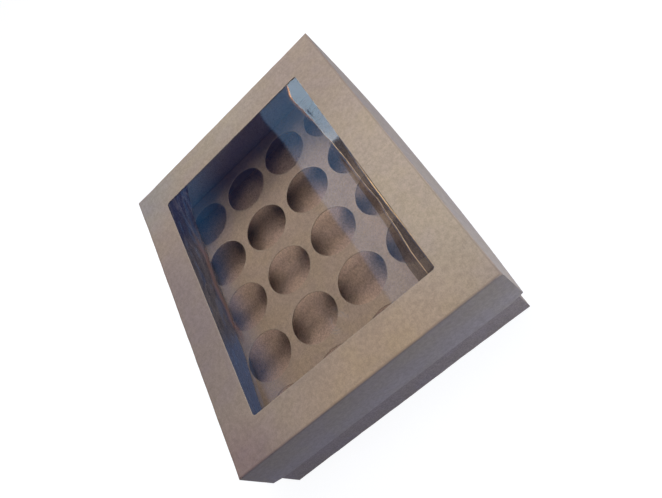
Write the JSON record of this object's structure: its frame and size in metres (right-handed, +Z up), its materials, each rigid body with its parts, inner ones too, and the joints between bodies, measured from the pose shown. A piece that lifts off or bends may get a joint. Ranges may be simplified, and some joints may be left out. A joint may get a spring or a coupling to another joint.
{
  "type": "windowed presentation box",
  "caption": "Shallow rectangular board box with a lift-off windowed lid, a deep tray and a loose insert whose raised deck holds cups in rows of round holes.",
  "frame": {"origin": "middle of the tray's underside, on the surface that the box stands on", "axes": "+Z up, along the way the lid lifts; +Y along the long sides, towards the back; +X along the short sides, to the right"},
  "size_m": [0.2576, 0.328, 0.078],
  "materials": {
    "lid_board": "uncoated kraft board, matte",
    "tray_board": "uncoated kraft board, matte",
    "insert_board": "uncoated kraft board, matte",
    "film": "clear, glossy, slightly rippled",
    "clear_glue": "dried clear glue"
  },
  "bodies": {
    "tray": {"tray_floor": "tray_board", "tray_front_wall": "tray_board", "tray_back_wall": "tray_board", "tray_left_wall": "tray_board", "tray_right_wall": "tray_board", "tray_front_left_tab": "tray_board", "tray_front_right_tab": "tray_board", "tray_back_left_tab": "tray_board", "tray_back_right_tab": "tray_board", "tray_tab_glue": "clear_glue"},
    "insert": {"insert_deck": "insert_board", "insert_front_leg": "insert_board", "insert_back_leg": "insert_board", "insert_left_leg": "insert_board", "insert_right_leg": "insert_board"},
    "lid": {"lid_top": "lid_board", "lid_front_wall": "lid_board", "lid_back_wall": "lid_board", "lid_left_wall": "lid_board", "lid_right_wall": "lid_board", "lid_front_left_tab": "lid_board", "lid_front_right_tab": "lid_board", "lid_back_left_tab": "lid_board", "lid_back_right_tab": "lid_board", "lid_tab_glue": "clear_glue", "window_film": "film", "window_film_glue": "clear_glue"}
  },
  "joints": [
    {"name": "lid_lift", "type": "slide", "parent": "tray", "child": "lid", "axis": [0, 0, 1], "range_m": [0, 0.18]},
    {"name": "insert_lift", "type": "slide", "parent": "tray", "child": "insert", "axis": [0, 0, 1], "range_m": [0, 0.09]}
  ],
  "couplings": [
    {"joint": "insert_lift", "follows": "lid_lift", "ratio": 0.5}
  ]
}
